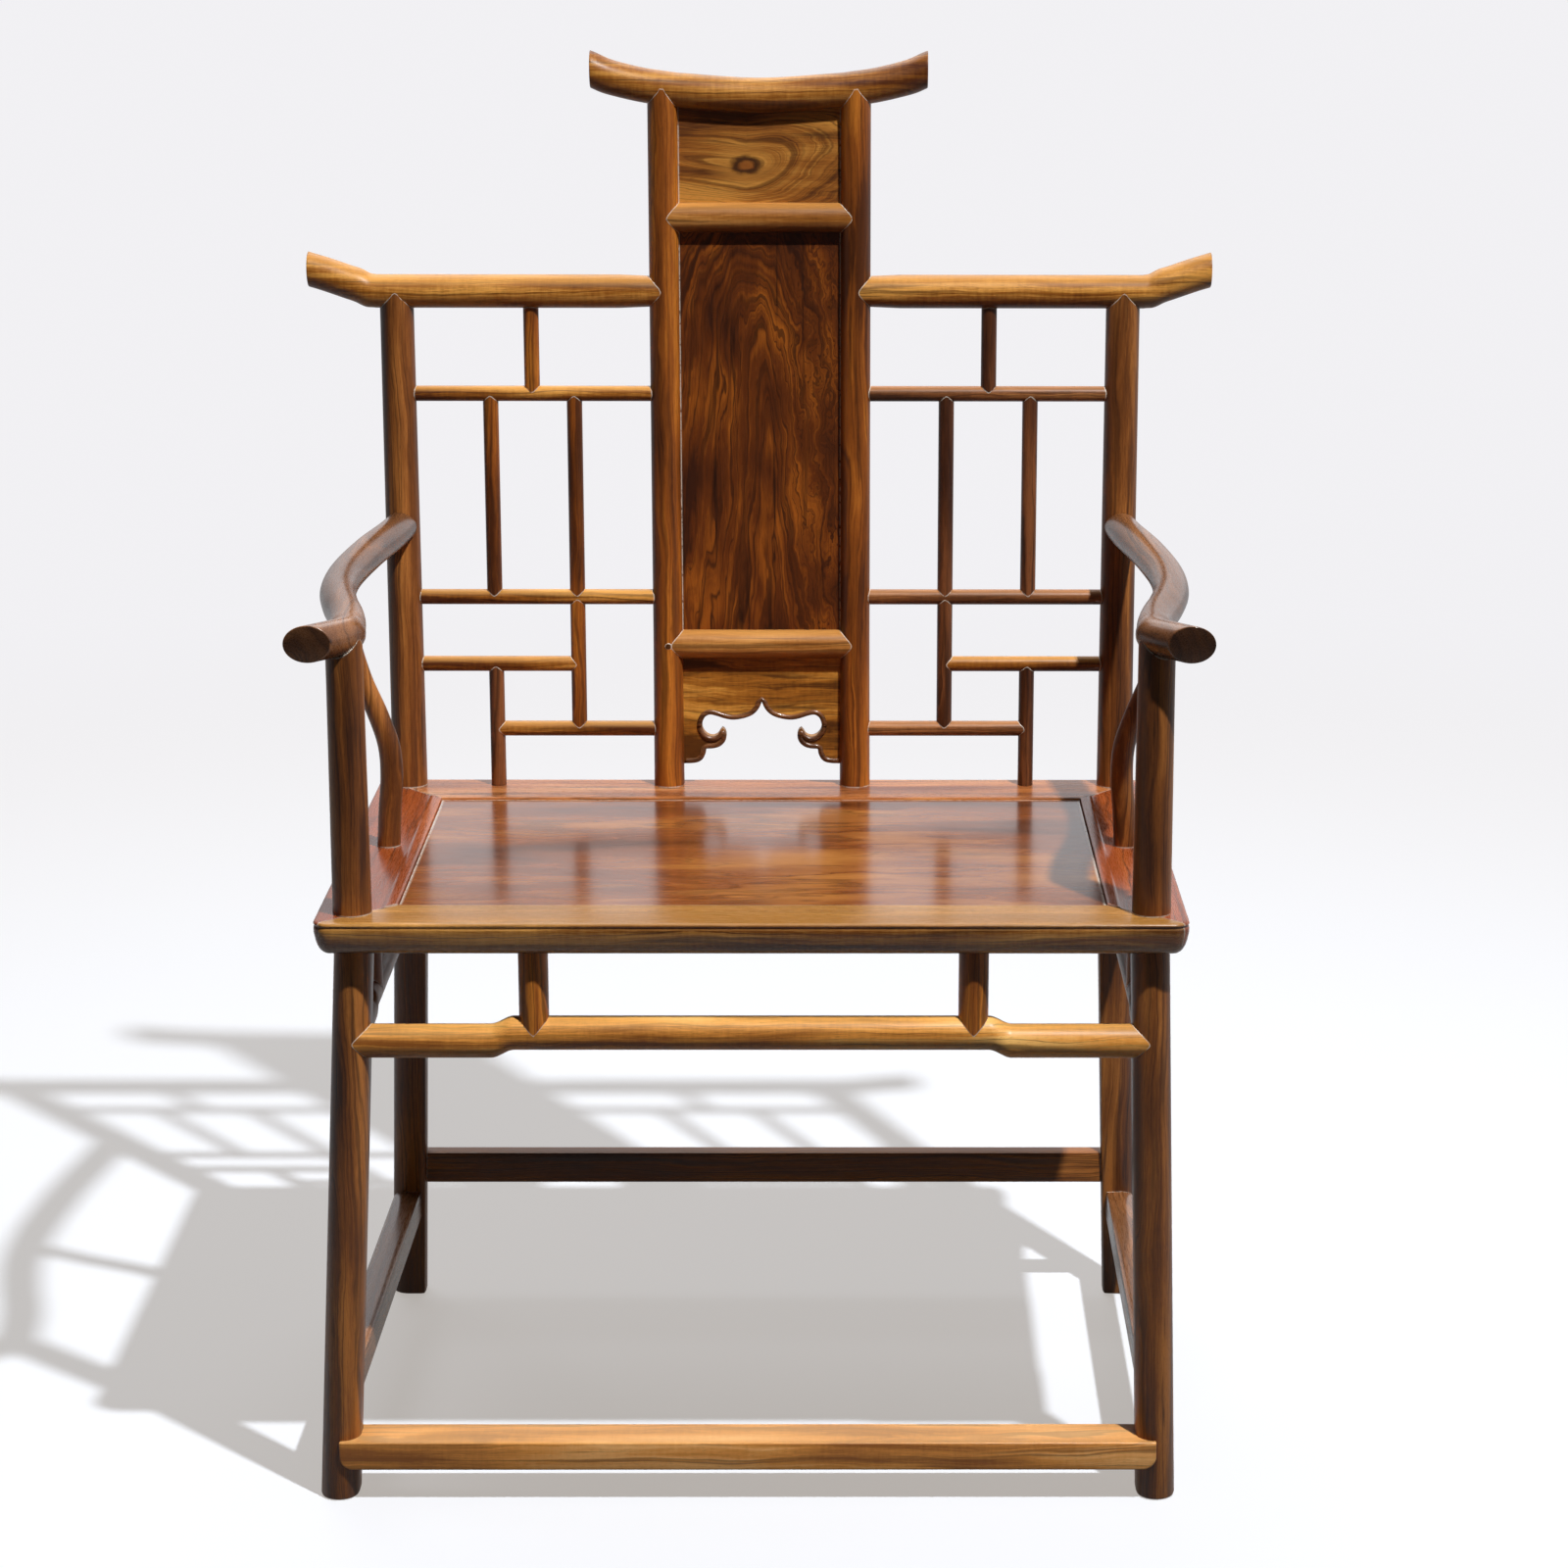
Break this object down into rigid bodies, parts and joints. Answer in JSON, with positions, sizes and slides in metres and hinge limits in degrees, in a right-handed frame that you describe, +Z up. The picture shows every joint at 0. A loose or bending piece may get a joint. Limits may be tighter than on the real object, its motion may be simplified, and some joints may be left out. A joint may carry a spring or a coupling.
{
  "type": "officials hat armchair",
  "caption": "Armchair with round posts, curved arms, an upswept crest rail, a panelled centre back between lattice wings, and humpback stretchers under a framed wooden seat",
  "frame": {"origin": "on the floor, under the centre of the chair's overall box", "axes": "+Z up, the sitter faces -Y, +X is on the right of someone who looks at the chair's front"},
  "size_m": [0.806, 0.4876, 1.166],
  "materials": {
    "golden": "polished",
    "honey": "polished",
    "red": "polished",
    "brown": "polished",
    "figured": "polished"
  },
  "bodies": {
    "root": {"headrail": "golden", "wing_rail_left": "golden", "wing_rail_right": "golden", "seat_front_rail": "golden", "seat_back_rail": "golden", "seat_panel": "golden", "foot_rest": "golden", "front_humpback_stretcher": "golden", "rear_humpback_stretcher": "golden", "left_humpback_stretcher": "golden", "right_humpback_stretcher": "golden", "lattice_top_rail_left": "golden", "lattice_top_rail_right": "golden", "lattice_middle_rail_left": "golden", "lattice_middle_rail_right": "golden", "lattice_short_rail_left": "golden", "lattice_short_rail_right": "golden", "lattice_bottom_rail_left": "golden", "lattice_bottom_rail_right": "golden", "lattice_top_upright_left": "golden", "lattice_top_upright_right": "golden", "lattice_outer_upright_left": "golden", "lattice_outer_upright_right": "golden", "lattice_inner_upright_left": "golden", "lattice_inner_upright_right": "golden", "lattice_hanging_upright_left": "golden", "lattice_hanging_upright_right": "golden", "lattice_standing_upright_left": "golden", "lattice_standing_upright_right": "golden", "upper_cross_rail": "honey", "lower_cross_rail": "honey", "upper_panel": "honey", "apron_panel": "honey", "centre_post_left": "red", "centre_post_right": "red", "seat_left_rail": "red", "seat_right_rail": "red", "front_leg_left": "brown", "front_leg_right": "brown", "rear_leg_left": "brown", "rear_leg_right": "brown", "arm_left": "brown", "arm_right": "brown", "arm_strut_left": "brown", "arm_strut_right": "brown", "seat_batten_left": "brown", "seat_batten_right": "brown", "centre_post_peg": "brown", "side_lower_stretcher_left": "brown", "side_lower_stretcher_right": "brown", "rear_lower_stretcher": "brown", "front_strut_left": "brown", "front_strut_right": "brown", "rear_strut_left": "brown", "rear_strut_right": "brown", "left_strut_front": "brown", "left_strut_rear": "brown", "right_strut_front": "brown", "right_strut_rear": "brown", "main_panel": "figured"}
  },
  "joints": []
}
